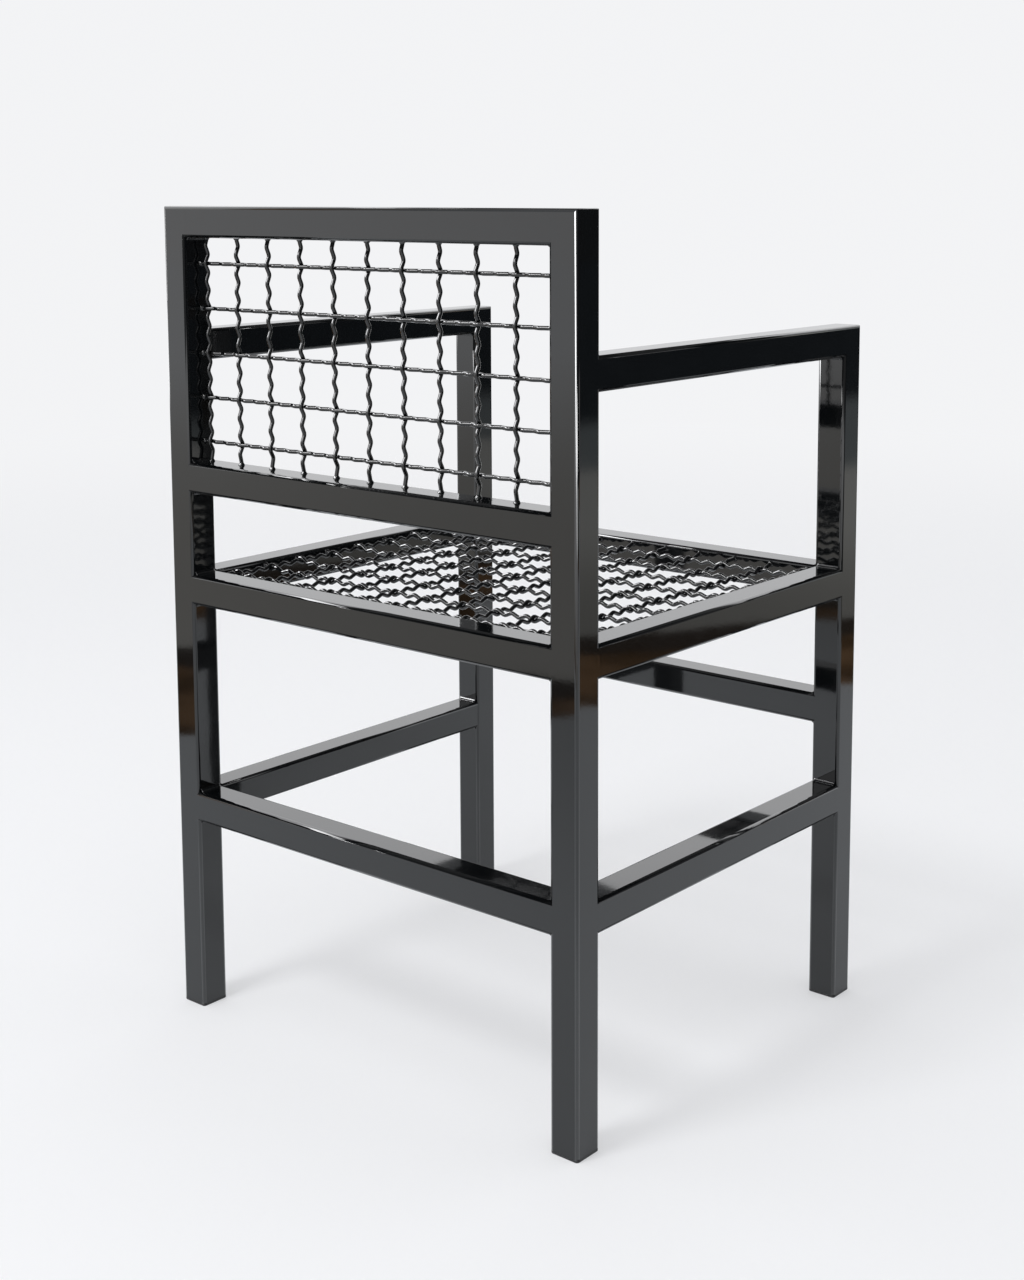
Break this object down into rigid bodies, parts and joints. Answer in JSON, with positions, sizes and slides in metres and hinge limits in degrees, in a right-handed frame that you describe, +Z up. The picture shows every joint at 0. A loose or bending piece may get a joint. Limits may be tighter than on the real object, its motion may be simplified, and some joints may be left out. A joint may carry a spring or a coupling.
{
  "type": "wire mesh armchair",
  "caption": "Welded square tube armchair in gloss black, with woven crimped wire mesh as its seat and back, level arms and low stretchers.",
  "frame": {"origin": "on the floor, under the middle of the chair's outer box", "axes": "+Z up, -Y to the front, where the sitter faces, +X to the sitter's left"},
  "size_m": [0.508, 0.45, 0.802],
  "materials": {
    "frame_tube": "gloss black powder coat with a fine orange peel",
    "mesh_wire": "gloss black coated crimped steel wire",
    "weld_bead": "coated weld metal, slightly uneven",
    "foot_cap": "satin black moulded plastic"
  },
  "bodies": {
    "root": {"rear_leg_left": "frame_tube", "front_leg_left": "frame_tube", "arm_left": "frame_tube", "seat_rail_left": "frame_tube", "stretcher_left": "frame_tube", "rear_leg_right": "frame_tube", "front_leg_right": "frame_tube", "arm_right": "frame_tube", "seat_rail_right": "frame_tube", "stretcher_right": "frame_tube", "back_top_rail": "frame_tube", "back_lower_rail": "frame_tube", "seat_rail_rear": "frame_tube", "seat_rail_front": "frame_tube", "stretcher_rear": "frame_tube", "stretcher_front": "frame_tube", "back_upright_wire_01": "mesh_wire", "back_upright_wire_02": "mesh_wire", "back_upright_wire_03": "mesh_wire", "back_upright_wire_04": "mesh_wire", "back_upright_wire_05": "mesh_wire", "back_upright_wire_06": "mesh_wire", "back_upright_wire_07": "mesh_wire", "back_upright_wire_08": "mesh_wire", "back_upright_wire_09": "mesh_wire", "back_upright_wire_10": "mesh_wire", "back_upright_wire_11": "mesh_wire", "back_cross_wire_01": "mesh_wire", "back_cross_wire_02": "mesh_wire", "back_cross_wire_03": "mesh_wire", "back_cross_wire_04": "mesh_wire", "back_cross_wire_05": "mesh_wire", "seat_long_wire_01": "mesh_wire", "seat_long_wire_02": "mesh_wire", "seat_long_wire_03": "mesh_wire", "seat_long_wire_04": "mesh_wire", "seat_long_wire_05": "mesh_wire", "seat_long_wire_06": "mesh_wire", "seat_long_wire_07": "mesh_wire", "seat_long_wire_08": "mesh_wire", "seat_long_wire_09": "mesh_wire", "seat_long_wire_10": "mesh_wire", "seat_long_wire_11": "mesh_wire", "seat_cross_wire_01": "mesh_wire", "seat_cross_wire_02": "mesh_wire", "seat_cross_wire_03": "mesh_wire", "seat_cross_wire_04": "mesh_wire", "seat_cross_wire_05": "mesh_wire", "seat_cross_wire_06": "mesh_wire", "seat_cross_wire_07": "mesh_wire", "seat_cross_wire_08": "mesh_wire", "seat_cross_wire_09": "mesh_wire", "back_mesh_welds": "weld_bead", "seat_mesh_welds": "weld_bead", "frame_welds": "weld_bead", "foot_cap_rear_left": "foot_cap", "foot_cap_front_left": "foot_cap", "foot_cap_rear_right": "foot_cap", "foot_cap_front_right": "foot_cap"}
  },
  "joints": []
}
